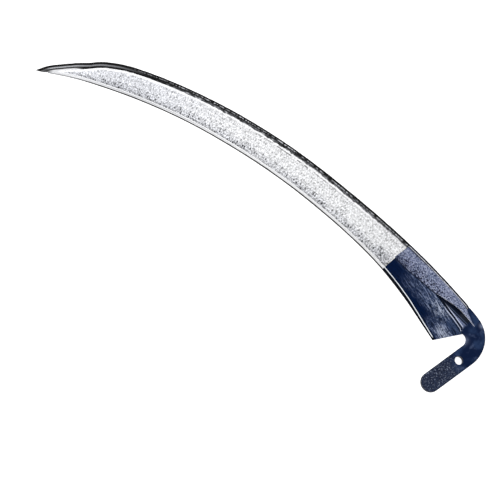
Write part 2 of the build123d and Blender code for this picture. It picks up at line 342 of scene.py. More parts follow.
def sheet_rings(along, out, top, bottom):
    """Rings from two faces given on a grid (stations, across): over the top, back underneath."""
    x, y = place(along, out)
    upper = np.stack([x, y, top], -1)
    lower = np.stack([x, y, bottom], -1)
    return np.concatenate([upper, lower[:, ::-1]], axis=1)


def both_faces(numbers):
    """Per-point numbers of a sheet's grid, repeated for its underside."""
    return np.concatenate([numbers, numbers[:, ::-1]], axis=1)


def finish_piece(piece, node, material):
    """Puts a piece in a CAD node's place, on the part's one body."""
    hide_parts(node)
    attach(piece, "root")
    piece.data.materials.append(material)
    return piece


# ---- the blade's sheet: web and edge strip -----------------------------------------------------

PROFILE = SheetProfile(30 * MM)
RIB_MESH = node_mesh("back_rib")
RIB_SPAN = (10.2 * MM, 511.5 * MM)
RIB_TUCK = 11 * MM           # the rib dies into the tang's root over this length
APEX_POINT = RIB_MESH[0][RIB_MESH[0][:, 0].argmin()]
APEX_ALONG, APEX_OUT = unplace(APEX_POINT[0], APEX_POINT[1])
APEX = np.array([APEX_OUT, APEX_POINT[2]])


def rib_foot(along):
    """Distance from the edge to the rib's foot at each place along the blade."""
    stations = np.linspace(*RIB_SPAN, 260)
    feet = np.array([radial_cut(RIB_MESH, s)[..., 0].min() for s in stations])
    slope = (feet[12] - feet[0]) / (stations[12] - stations[0])
    return np.interp(along, stations, feet) + np.minimum(along - stations[0], 0) * slope


def heel_start(out):
    """Where the slanted heel edge lies, as a length along the blade, for each distance out."""
    share = np.linspace(-0.3, 1.0, 60)
    line = HEEL_FOOT[:2] + (NOTCH - HEEL_FOOT)[:2] * share[:, None]
    along, line_out = unplace(line[:, 0], line[:, 1])
    return np.interp(out, line_out, along)


def sheet_grid(start, end, across, step):
    """Grid of (along, out) between two stations; a start of None means the slanted heel edge."""
    first = 0.0 if start is None else start
    stations = np.linspace(first, end, max(2, round((end - first) / step)))
    low, high = across(stations)
    columns = max(3, round((high - low).max() / step))
    share = np.linspace(0, 1, columns)
    out = low[:, None] + (high - low)[:, None] * share
    along = np.repeat(stations[:, None], columns, axis=1)
    if start is None:
        slant = heel_start(out)
        along = slant + (end - slant) * (stations / end)[:, None]
    return along, out


def web_across(stations):
    """Inner and outer limits of the web: edge strip to a little under the rib."""
    high = rib_foot(stations) + RIB_COVER
    low = np.minimum(PROFILE.strip_width, high - 0.4 * MM)
    return np.maximum(low, 0.1 * MM), np.maximum(high, 0.5 * MM)


def strip_across(stations):
    """Inner and outer limits of the edge strip."""
    high = np.minimum(PROFILE.strip_width, rib_foot(stations) + RIB_COVER)
    return 0 * high, np.maximum(high, 0.5 * MM)


def hammer_relief(along, out):
    """Height of the hammered face: planishing facets with a field of small dents in columns."""
    facets = dents(along + 3 * MM, out, (7 * MM, 6 * MM), 4.6 * MM, 11)
    small = dents(along, out, (2.1 * MM, 1.7 * MM), 0.95 * MM, 21, 0.8)
    waves = rough_noise(along / (26 * MM), out / (14 * MM), 5)
    return -0.16 * MM * facets - 0.10 * MM * small + 0.12 * MM * waves, small


def web_piece(name, start, end, step, relief_of):
    """One closed piece of the web, with relief on both faces that fades out at its borders."""
    along, out = sheet_grid(start, end, web_across, step)
    relief, mark = relief_of(along, out)
    gap = TONGUE_LINE.below(*place(along, out))
    root = root_share(place(along, out)[0])
    relief = relief + 0.45 * MM * root * np.exp(-((gap - 1.2 * MM) / (0.5 * MM)) ** 2)
    back = rib_foot(along[:, 0])[:, None]
    fade = ease((out - PROFILE.strip_width) / (1.2 * MM))
    top = PROFILE.top(out) + relief * fade
    under = hammer_relief(along + 0.4, out)[0] * fade
    bottom = PROFILE.bottom(out) - 0.6 * under
    rings = sheet_rings(along, out, top, bottom)
    span = np.maximum(back - PROFILE.strip_width, 1 * MM)
    values = {
        "along": both_faces(along),
        "out": both_faces(out),
        "across": both_faces((out - PROFILE.strip_width) / span),
        "mark": both_faces(mark),
        "foot_gap": both_faces(back - out),
        "below_tongue": both_faces(gap),
        "below_leaf": both_faces(LEAF_LINE.below(*place(along, out))),
        "root_share": both_faces(root),
    }
    return ring_mesh(name, rings, values)


def heel_relief(along, out):
    """The painted heel: smooth lengthwise draw marks, shallow dents, and a ridge along the strip."""
    streaks = rough_noise(along / (30 * MM), out / (1.6 * MM), 31)
    waves = rough_noise(along / (18 * MM), out / (9 * MM), 41)
    small = dents(along, out, (3.1 * MM, 2.3 * MM), 1.1 * MM, 51, 0.35)
    ridge = np.exp(-((out - PROFILE.strip_width - 0.5 * MM) / (0.5 * MM)) ** 2)
    relief = 0.05 * MM * streaks + 0.16 * MM * waves - 0.08 * MM * small + 0.25 * MM * ridge
    return relief, small


def strip_piece(name, start, end, step):
    """One closed piece of the edge strip, with faint peening waves."""
    along, out = sheet_grid(start, end, strip_across, step)
    share = out / PROFILE.strip_width
    waves = rough_noise(along / (9 * MM), out / (3 * MM), 61) * ease(share * (1 - share) * 4)
    top = PROFILE.top(np.maximum(out, 0.05 * MM)) + 0.04 * MM * waves
    bottom = PROFILE.bottom(np.maximum(out, 0.05 * MM)) - 0.04 * MM * waves
    rings = sheet_rings(along, out, top, bottom)
    values = {"along": both_faces(along), "out": both_faces(out)}
    return ring_mesh(name, rings, values)


# ---- the rib -----------------------------------------------------------------------------------

RIB_ROUND = 44


def rib_rings(stations):
    """Forged rings of the rib, read from the CAD rib, tucked in at the heel end, drawn to the apex at the point
    and smoothed round; rib_piece makes them uneven.
    """
    rings = []
    for along in stations:
        at = min(max(along, RIB_SPAN[0]), RIB_SPAN[1])
        ring = rib_ring(radial_cut(RIB_MESH, at), RIB_ROUND)
        middle = ring.mean(0)
        tuck = max(RIB_SPAN[0] - along, 0) / RIB_TUCK
        ring = middle + (ring - middle) * (1 - 0.5 * tuck) - np.array([0.4, 1.5]) * MM * tuck
        nib = max(along - RIB_SPAN[1], 0) / (APEX_ALONG - RIB_SPAN[1])
        ring = middle + (ring - middle) * (1 - 0.85 * nib) + (APEX - middle) * nib
        rings.append(ring)
    rings = np.array(rings)
    return rings * 0.5 + 0.25 * (np.roll(rings, 1, 1) + np.roll(rings, -1, 1))


def rib_piece(name, start, end, step):
    """One closed piece of the rib, with scale pits, hammer flats and a wandering foot."""
    stations = np.linspace(start, end, round((end - start) / step))
    rings = rib_rings(stations)
    middle = rings.mean(1, keepdims=True)
    spread = rings - middle
    size = np.abs(spread).max(1, keepdims=True)
    outward = spread / np.maximum(np.linalg.norm(spread, axis=2, keepdims=True), 1e-9)
    along = np.repeat(stations[:, None], RIB_ROUND, 1)
    walk = np.cumsum(np.linalg.norm(rings - np.roll(rings, 1, 1), axis=2), axis=1)
    lumps = rough_noise(along / (7 * MM), walk / (3 * MM), 71)
    flats = dents(along, walk, (9 * MM, 5 * MM), 4.5 * MM, 81, 0.8)
    relief = 0.16 * MM * lumps - 0.16 * MM * flats
    thin = np.clip(size.max(2) / (2 * MM), 0, 1)
    rings = rings + outward * (relief * thin)[..., None]
    foot = ease(-spread[..., 0] / size[..., 0]) * ease(0.3 - spread[..., 1] / size[..., 1])
    calm = 1 - 0.8 * ease((along - 350 * MM) / (40 * MM))
    wander = 0.9 * MM * rough_noise(along / (5 * MM), 0 * along, 91, 4) * foot * thin * calm
    rings[..., 0] -= wander
    x, y = place(along, rings[..., 0])
    points = np.stack([x, y, rings[..., 1]], -1)
    inset = rings[..., 0].max(1, keepdims=True) - rings[..., 0]
    values = {"along": along, "inset": inset, "height": spread[..., 1] / size[..., 1]}
    return ring_mesh(name, points, values)


# ---- the heel stiffener ------------------------------------------------------------------------

def stiffener_piece(name, step):
    """The lapped leaf: cut across into stations, crowned a little, with punch dimples on its face."""
    mesh = node_mesh("heel_stiffener")
    low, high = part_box("heel_stiffener")
    stations = np.linspace(low.x + 1.1 * MM, high.x - 0.15 * MM, round((high.x - low.x) / step))
    columns = 60
    share = np.linspace(0, 1, columns)
    tops, bottoms, depths = [], [], []
    for x in stations:
        pieces = cut(mesh, [x, 0, 0], [1, 0, 0])[..., 1:]
        first, last = pieces[..., 0].min() + 0.02 * MM, pieces[..., 0].max() - 0.02 * MM
        y = first + (last - first) * share
        bottom, top = reach(pieces, y)
        found = np.isfinite(top)
        tops.append(np.interp(y, y[found], top[found]))
        bottoms.append(np.interp(y, y[found], bottom[found]))
        depths.append(y)
    y, top, bottom = np.array(depths), np.array(tops), np.array(bottoms)
    x = np.repeat(stations[:, None], columns, 1)
    thickness = np.maximum(top - bottom, 0)
    length_share = (x - low.x) / (high.x - low.x)
    feather = 0.5 * MM + 5 * MM * ease((0.32 - length_share) / 0.3)
    edge = ease((y - y[:, :1]) / feather) * ease((x - low.x) / (7 * MM))
    lip = np.exp(-((y - y[:, :1]) / (0.5 * MM)) ** 2)
    crown = 0.35 * MM * np.sin(math.pi * share) ** 0.8
    waves = 0.10 * MM * rough_noise(x / (12 * MM), y / (7 * MM), 101)
    punched = ease((x - low.x - 1 * MM) / (4 * MM)) * ease((high.x - 40 * MM - x) / (12 * MM))
    punched = punched * ease((0.75 - share) / 0.35)
    punches = dents(x, y, (1.9 * MM, 1.8 * MM), 0.85 * MM, 111, 0.72) * punched
    relief = (crown + waves - 0.22 * MM * punches) * ease(thickness / (1 * MM))
    top = bottom + 0.06 * MM + (thickness + relief) * (0.08 + 0.92 * edge)
    over_root = ease((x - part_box("back_rib")[1].x + 1 * MM) / (2 * MM)) * ease((TONGUE_END - x) / (4 * MM))
    bottom = bottom - 1.3 * MM * over_root * ease(1 - (y - y[:, :1]) / (2.5 * MM))
    upper = np.stack([x, y, top], -1)
    lower = np.stack([x, y, bottom], -1)
    rings = np.concatenate([upper, lower[:, ::-1]], axis=1)
    values = {
        "length_share": both_faces(length_share),
        "share": both_faces(np.repeat(share[None], len(stations), 0)),
        "lip": both_faces(lip),
        "mark": both_faces(punches),
    }
    return ring_mesh(name, rings, values)


# ---- the tang ----------------------------------------------------------------------------------

def painted_sheen_spots(x, y):
    """Two soft spots of painted sheen: highlights on the hook's inner bend and on its outer corner."""
    corner_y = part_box("tang")[1].y
    inner = np.hypot(x - NOTCH[0] - 6 * MM, y - NOTCH[1] + 3.5 * MM) / (3.8 * MM)
    outer = np.hypot((x - NOTCH[0] - 4.5 * MM) / 1.4, y - corner_y + 2.2 * MM) / (2.0 * MM)
    return np.exp(-inner**2) + np.exp(-outer**2)


def tongue_cap(x, y):
    """Height limit that carries the tongue's two facets on over the root until they fade out."""
    root_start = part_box("back_rib")[1].x
    run = ease((x - root_start + 0.5 * MM) / (TONGUE_END - root_start))
    top = ROOT_TOP - 1.1 * MM * (1 - run)
    over = TONGUE_LINE.above_crown(x, y)
    facets = 0.66 * np.maximum(-over, 0) + 0.16 * np.maximum(over, 0)
    cap = top - facets * (1 - run)
    beyond = (x > TONGUE_END) | (x < root_start - 0.5 * MM) | (LEAF_LINE.below(x, y) < -0.4 * MM)
    return np.where(beyond, np.inf, cap)


def tang_piece(name, voxel):
    """The tang: the CAD bar remeshed evenly, its dressed corners softened, with forging pits."""
    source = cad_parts["tang"]
    piece = bpy.data.objects.new(name, source.data.copy())
    bpy.context.scene.collection.objects.link(piece)
    piece.data.materials.clear()
    remesh = piece.modifiers.new("even", "REMESH")
    remesh.mode = "VOXEL"
    remesh.voxel_size = voxel
    remesh.use_smooth_shade = True
    soften = piece.modifiers.new("soften", "SMOOTH")
    soften.factor = 0.5
    soften.iterations = 3
    graph = bpy.context.evaluated_depsgraph_get()
    mesh = bpy.data.meshes.new_from_object(piece.evaluated_get(graph))
    piece.modifiers.clear()
    piece.data = mesh
    count = len(mesh.vertices)
    points, normals = np.empty(count * 3), np.empty(count * 3)
    mesh.vertices.foreach_get("co", points)
    mesh.vertices.foreach_get("normal", normals)
    points, normals = points.reshape(-1, 3), normals.reshape(-1, 3)
    x, y = points[:, 0], points[:, 1]
    points[:, 2] = np.minimum(points[:, 2], tongue_cap(x, y))
    lumps = rough_noise(x / (9 * MM), y / (9 * MM), 121)
    pits = dents(x, y, (2.4 * MM, 2.2 * MM), 1.1 * MM, 131, 0.6)
    end = ease((4 * MM - y) / (20 * MM))
    relief = 0.10 * MM * lumps - (0.03 * MM + 0.09 * MM * end) * pits
    rise = y - np.interp(x, TONGUE_LINE.x, TONGUE_LINE.y)
    tongue = ease((TONGUE_END - x) / (4 * MM)) * ease(LEAF_LINE.below(x, y) / (0.5 * MM) + 1)
    relief = relief + 0.35 * MM * tongue * root_share(x) * np.exp(-((rise - 1.9 * MM) / (0.5 * MM)) ** 2)
    relief = relief - 0.45 * MM * tongue * np.exp(-((rise - 0.7 * MM) / (0.5 * MM)) ** 2)
    hole = np.hypot(x, y) < 6 * MM
    flat = np.abs(normals[:, 2]) > 0.5
    points += normals * (relief * flat * ~hole)[:, None]
    mesh.vertices.foreach_set("co", points.ravel())
    values = {
        "mark": pits * end,
        "pitted": end,
        "rise": rise,
        "over_ridge": TONGUE_LINE.above_crown(x, y),
        "tongue": tongue,
        "painted_sheen": painted_sheen_spots(x, y),
        "root_share": root_share(x),
    }
    for key, numbers in values.items():
        attribute = mesh.attributes.new(key, "FLOAT", "POINT")
        attribute.data.foreach_set("value", numbers.astype(np.float32))
    mesh.update()
    return piece


# ---- materials ---------------------------------------------------------------------------------

class Shader:
    """A small helper that builds one node material step by step."""

    def __init__(self, name):
        self.material = bpy.data.materials.new(name)
        self.material.use_nodes = True
        self.tree = self.material.node_tree
        self.surface = self.tree.nodes["Principled BSDF"]

    def node(self, kind, settings=None, **inputs):
        made = self.tree.nodes.new(kind)
        for key, value in (settings or {}).items():
            setattr(made, key, value)
        for key, value in inputs.items():
            self.feed(made.inputs[key.replace("_", " ")], value)
        return made

    def feed(self, socket, value):
        if isinstance(value, bpy.types.NodeSocket):
            self.tree.links.new(value, socket)
        else:
            socket.default_value = value

    def number(self, name):
        """A number stored at each point of the mesh."""
        return self.node("ShaderNodeAttribute", {"attribute_name": name}).outputs["Fac"]

    def math(self, operation, first, second=0.0, clamp=False):
        made = self.node("ShaderNodeMath", {"operation": operation, "use_clamp": clamp})
        self.feed(made.inputs[0], first)
        self.feed(made.inputs[1], second)
        return made.outputs[0]

    def ramp(self, value, low, high, start=0.0, end=1.0):
        """Maps low..high onto start..end, clamped, with soft ends."""
        made = self.node("ShaderNodeMapRange", {"interpolation_type": "SMOOTHSTEP"})
        for key, number in zip((0, 1, 2, 3, 4), (value, low, high, start, end)):
            self.feed(made.inputs[key], number)
        return made.outputs[0]

    def mix(self, share, first, second):
        made = self.node("ShaderNodeMix", {"data_type": "RGBA"})
        for key, value in zip((0, 6, 7), (share, first, second)):
            self.feed(made.inputs[key], value)
        return made.outputs[2]

    def noise(self, vector, scale, detail=3.0):
        made = self.node("ShaderNodeTexNoise")
        for key, value in (("Vector", vector), ("Scale", scale), ("Detail", detail)):
            self.feed(made.inputs[key], value)
        return made.outputs[0]

    def scattered_dots(self, vector, scale, core, rim, left_out, disorder=1.0):
        """Round dots, one to a cell, dark to the core radius; a share of the cells has none."""
        made = self.node("ShaderNodeTexVoronoi")
        for key, value in (("Vector", vector), ("Scale", scale), ("Randomness", disorder)):
            self.feed(made.inputs[key], value)
        split = self.node("ShaderNodeSeparateColor")
        self.feed(split.inputs[0], made.outputs["Color"])
        kept = self.ramp(split.outputs[0], left_out, left_out + 0.35)
        return self.math("MULTIPLY", self.ramp(made.outputs["Distance"], rim, core), kept)

    def courses(self, vector, length, height, joint):
        """Thin joints between staggered courses of long cells, 1 on a joint."""
        made = self.node("ShaderNodeTexBrick", {"offset": 0.5})
        values = (("Vector", vector), ("Scale", 1.0), ("Brick Width", length), ("Row Height", height),
                  ("Mortar Size", joint), ("Mortar Smooth", 0.6))
        for key, value in values:
            self.feed(made.inputs[key], value)
        return made.outputs["Fac"]

    def band(self, value, start, peak, end, strength=1.0):
        """Rises from start to peak and falls again to end."""
        return self.math("MULTIPLY", self.ramp(value, start, peak),
                         self.ramp(value, end, peak, 0.0, strength))

    def upward(self):
        """How far the surface looks straight up or down, 1 when it does."""
        split = self.node("ShaderNodeSeparateXYZ")
        self.feed(split.inputs[0], self.node("ShaderNodeNewGeometry").outputs["Normal"])
        return self.math("ABSOLUTE", split.outputs[2])

    def blade_vector(self, along_scale=1.0, out_scale=1.0):
        """Texture coordinates that follow the blade: along it, and out from the edge."""
        made = self.node("ShaderNodeCombineXYZ")
        self.feed(made.inputs[0], self.math("MULTIPLY", self.number("along"), along_scale))
        self.feed(made.inputs[1], self.math("MULTIPLY", self.number("out"), out_scale))
        return made.outputs[0]

    def object_vector(self):
        return self.node("ShaderNodeTexCoord").outputs["Object"]

    def bump(self, height, strength, distance):
        made = self.node("ShaderNodeBump")
        for key, value in (("Height", height), ("Strength", strength), ("Distance", distance)):
            self.feed(made.inputs[key], value)
        self.feed(self.surface.inputs["Normal"], made.outputs[0])

    def set(self, **inputs):
        for key, value in inputs.items():
            self.feed(self.surface.inputs[key.replace("_", " ")], value)
        return self.material


def grey(level, tint=0.0):
    """A grey, a little bluer with tint."""
    return (level * (1 - tint), level * (1 - 0.6 * tint), level * (1 + tint), 1.0)


def hammered_steel():
    """Bright planished steel: pale by the rib, denser and darker dents towards the strip, and painted shade that
    darkens the face towards the strip.
    """
    s = Shader("hammered_steel")
    across, along = s.number("across"), s.number("along")
    vector = s.blade_vector()
    cloud = s.noise(vector, 70, 4)
    worked = s.math("ADD", across, s.math("MULTIPLY", s.math("SUBTRACT", cloud, 0.5), 0.6))
    # the face is made darker close to the paint line, towards the strip
    darker_by_paint_line = s.math("MULTIPLY", s.ramp(along, 0.125, 0.092), s.ramp(across, 0.60, 0.15))
    depth = s.math("ADD", s.ramp(worked, 0.50, -0.10), darker_by_paint_line, True)
    pits = s.scattered_dots(s.blade_vector(1.0, 0.62), 470, 0.28, 0.48, 0.15, 0.6)
    grains = s.scattered_dots(vector, 620, 0.24, 0.44, 0.35, 0.8)
    strokes = s.ramp(s.noise(s.blade_vector(1.0, 0.45), 800, 1), 0.56, 0.64)
    dots = s.math("MAXIMUM", pits, s.math("MULTIPLY", grains, 0.9))
    dots = s.math("MAXIMUM", dots, s.math("MULTIPLY", strokes, 0.7))
    dots = s.math("MAXIMUM", dots, s.math("MULTIPLY", s.number("mark"), 0.9))
    broken = s.ramp(s.noise(vector, 500, 2), 0.42, 0.58, 0.1, 1.0)
    joints = s.math("MULTIPLY", s.courses(vector, 0.0033, 0.0027, 0.0005), broken)
    dots = s.math("MAXIMUM", dots, s.math("MULTIPLY", joints, 0.75))
    row = s.band(s.number("out"), 0.0040, 0.0052, 0.0078)
    pecked = s.scattered_dots(vector, 560, 0.30, 0.46, 0.1, 0.5)
    dots = s.math("MAXIMUM", dots, s.math("MULTIPLY", pecked, s.math("MULTIPLY", row, 0.85)))
    reach = s.math("ADD", s.math("MULTIPLY", depth, 0.50), 0.60)
    amount = s.math("MULTIPLY", dots, reach, True)
    outer = s.ramp(along, 0.28, 0.42)
    pale = s.mix(outer, grey(0.91, 0.012), grey(0.83, 0.035))
    # painted shade: the face is darkened towards the strip, where the dished web tilts away from the light; depth
    # also sets the denser dents there
    tone = s.mix(depth, pale, s.mix(outer, grey(0.71, 0.035), grey(0.60, 0.045)))
    tone = s.mix(s.ramp(along, PAINT_END + 1.8 * MM, PAINT_END + 0.8 * MM), tone, grey(0.95))
    gap = s.number("foot_gap")
    clean = s.math("MULTIPLY", s.ramp(gap, 0.0030, 0.0016), s.ramp(along, 0.11, 0.15))
    amount = s.math("MULTIPLY", amount, s.math("SUBTRACT", 1.0, s.math("MULTIPLY", clean, 0.8)))
    tone = s.mix(s.math("MULTIPLY", clean, 0.8), tone, grey(0.96, 0.01))
    colour = s.mix(amount, tone, grey(0.006, 0.20))
    wavy = s.math("ADD", gap, s.math("MULTIPLY", s.noise(vector, 40, 2), 0.0016))
    scuff = s.ramp(s.noise(s.blade_vector(0.5, 1.0), 330, 2), 0.49, 0.53)
    scuff = s.math("MULTIPLY", scuff, s.ramp(wavy, 0.0028, 0.0031))
    scuff = s.math("MULTIPLY", scuff, s.ramp(wavy, 0.0042, 0.0039))
    scuff = s.math("MULTIPLY", scuff, s.band(along, 0.13, 0.22, 0.38, 0.85))
    colour = s.mix(scuff, colour, grey(0.04))
    blotch = s.noise(s.object_vector(), 230, 4)
    scale = s.ramp(s.math("SUBTRACT", gap, s.math("MULTIPLY", blotch, 0.0052)), -0.0021, -0.0026)
    scale = s.math("MULTIPLY", scale, s.ramp(along, 0.38, 0.35))
    colour = s.mix(s.math("MULTIPLY", scale, 0.9), colour, grey(0.03, 0.05))
    s.bump(dots, 0.5, -0.0002)
    rough = s.ramp(cloud, 0.3, 0.7, 0.34, 0.46)
    return s.set(Base_Color=colour, Metallic=0.6, Roughness=rough, Specular_IOR_Level=0.1)


def ground_steel():
    """The strip: bright ground steel with lengthwise scratches and a near-black outer bevel that is a painted
    dark reflection.
    """
    s = Shader("ground_steel")
    scratches = s.noise(s.blade_vector(0.05, 1.0), 4000, 3)
    out, along = s.number("out"), s.number("along")
    patches = s.noise(s.blade_vector(), 45, 3)
    heavy = s.ramp(along, 0.40, 0.20, 0.0011, 0.0013)
    limit = s.math("ADD", heavy, s.math("MULTIPLY", patches, 0.0009))
    bevel = s.ramp(out, limit, s.math("MULTIPLY", limit, 0.75))
    bevel = s.math("MULTIPLY", bevel, s.ramp(along, 0.50, 0.44, 0.45, 1.0))
    seam = s.math("MULTIPLY", s.ramp(out, 0.0037, 0.0042), s.ramp(patches, 0.35, 0.55))
    tone = s.mix(scratches, grey(0.72, 0.01), grey(0.90, 0.01))
    tone = s.mix(s.ramp(along, 0.30, 0.42, 0.0, 0.5), tone, grey(0.62, 0.03))
    tone = s.mix(s.math("MULTIPLY", seam, 0.5), tone, grey(0.30))
    drift = s.math("ADD", out, s.math("MULTIPLY", patches, 0.0016))
    scored = s.math("MULTIPLY", s.band(drift, 0.0029, 0.0033, 0.0038), s.ramp(along, 0.25, 0.36, 0.25, 0.8))
    scored = s.math("MULTIPLY", scored, s.ramp(along, 0.47, 0.43, 0.2, 1.0))
    tone = s.mix(scored, tone, grey(0.25, 0.05))
    # painted dark reflection: the outer bevel is made near black
    colour = s.mix(s.math("MULTIPLY", bevel, 0.97), tone, grey(0.02))
    s.bump(scratches, 0.08, 0.00004)
    rough = s.ramp(scratches, 0.3, 0.7, 0.24, 0.36)
    return s.set(Base_Color=colour, Metallic=0.55, Roughness=rough, Specular_IOR_Level=0.1)


def forge_scale():
    """Black forge scale on the rib: a painted highlight line on the crest, a scoured foot, a ground flat near the
    point.
    """
    s = Shader("forge_scale")
    vector = s.object_vector()
    grain = s.noise(vector, 900, 4)
    blotch = s.noise(vector, 260, 3)
    broad = s.noise(vector, 60, 2)
    inset, along = s.number("inset"), s.number("along")
    ridge = s.math("ADD", inset, s.ramp(along, 0.19, 0.24, -0.0001, 0.0004))
    speck = s.noise(vector, 420, 2)
    # painted highlight: a light line along the rib's crest, where its top catches the light
    crest = s.math("MULTIPLY", s.band(ridge, 0.0018, 0.0024, 0.0034), s.ramp(speck, 0.44, 0.56))
    crest = s.math("MULTIPLY", crest, s.ramp(along, 0.43, 0.38))
    foot = s.math("MULTIPLY", s.ramp(inset, 0.0030, 0.0044), s.ramp(blotch, 0.30, 0.62))
    bright = s.math("MULTIPLY", s.ramp(inset, 0.0036, 0.0050), s.ramp(blotch, 0.54, 0.62))
    drawn = s.math("ADD", inset, s.ramp(along, 0.462, 0.476, 0.0, 0.0002))
    flat = s.math("MULTIPLY", s.band(drawn, 0.0023, 0.0033, 0.0050), s.ramp(along, 0.40, 0.455))
    flat = s.math("MULTIPLY", flat, s.ramp(along, 0.509, 0.501))
    flat = s.math("MULTIPLY", flat, s.ramp(grain, 0.30, 0.55, 0.5, 1.0))
    rest = s.ramp(along, 0.40, 0.34)
    tone = s.mix(grain, grey(0.002), grey(0.012, 0.05))
    tone = s.mix(s.math("MULTIPLY", crest, s.ramp(broad, 0.35, 0.6, 0.4, 1.0)), tone, grey(0.70, 0.04))
    tone = s.mix(s.math("MULTIPLY", foot, s.math("MULTIPLY", rest, 0.95)), tone, grey(0.20, 0.06))
    tone = s.mix(s.math("MULTIPLY", bright, s.math("MULTIPLY", rest, 0.9)), tone, grey(0.75, 0.02))
    tone = s.mix(flat, tone, s.mix(s.ramp(along, 0.462, 0.480), grey(0.33, 0.04), grey(0.50, 0.04)))
    flank = s.math("MULTIPLY", s.ramp(inset, 0.0026, 0.0034), s.ramp(along, 0.503, 0.506))
    tone = s.mix(flank, tone, grey(0.12, 0.03))
    bare = s.math("MULTIPLY", s.ramp(drawn, 0.0054, 0.0059), s.ramp(along, 0.468, 0.480))
    tone = s.mix(s.math("MULTIPLY", bare, s.ramp(along, 0.506, 0.497)), tone, grey(0.80, 0.02))
    seam = s.math("MULTIPLY", s.ramp(drawn, 0.0042, 0.0047), s.ramp(drawn, 0.0058, 0.0054))
    seam = s.math("MULTIPLY", seam, s.ramp(along, 0.455, 0.470))
    seam = s.math("MULTIPLY", seam, s.ramp(along, 0.512, 0.503))
    tone = s.mix(s.math("MULTIPLY", seam, s.ramp(blotch, 0.30, 0.50, 0.7, 1.0)), tone, grey(0.010))
    s.bump(grain, 0.35, 0.00015)
    rough = s.ramp(grain, 0.3, 0.7, 0.42, 0.62)
    return s.set(Base_Color=tone, Roughness=rough, Specular_IOR_Level=0.05)


BLACK_BLUE = (0.0010, 0.0035, 0.0130, 1.0)
NAVY = (0.0010, 0.0075, 0.0370, 1.0)
MID_BLUE = (0.030, 0.050, 0.110, 1.0)
SKY_BLUE = (0.150, 0.185, 0.300, 1.0)


def rib_enamel():
    """Enamel on the rib's heel end: black on the back, a painted highlight line on the crest, then the leaf's
    blue with its painted sheen.
    """
    s = Shader("blue_enamel_rib")
    inset = s.number("inset")
    vector = s.object_vector()
    grain = s.noise(vector, 500, 3)
    # painted highlight: a bright line along the rib's crest, broken up by noise
    highlight_noise = s.ramp(grain, 0.36, 0.52, 0.35, 1.0)
    line = s.math("MULTIPLY", s.band(inset, 0.0016, 0.0021, 0.0028), highlight_noise)
    leaf = s.ramp(inset, 0.0032, 0.0038)
    # painted sheen: the leaf's paler blue runs on over the rib's inner side
    tone = s.mix(leaf, BLACK_BLUE, (0.17, 0.20, 0.33, 1.0))
    tone = s.mix(line, tone, grey(0.80, 0.05))
    s.bump(grain, 0.15, 0.0001)
    return s.set(Base_Color=tone, Roughness=0.4, Specular_IOR_Level=0.05)


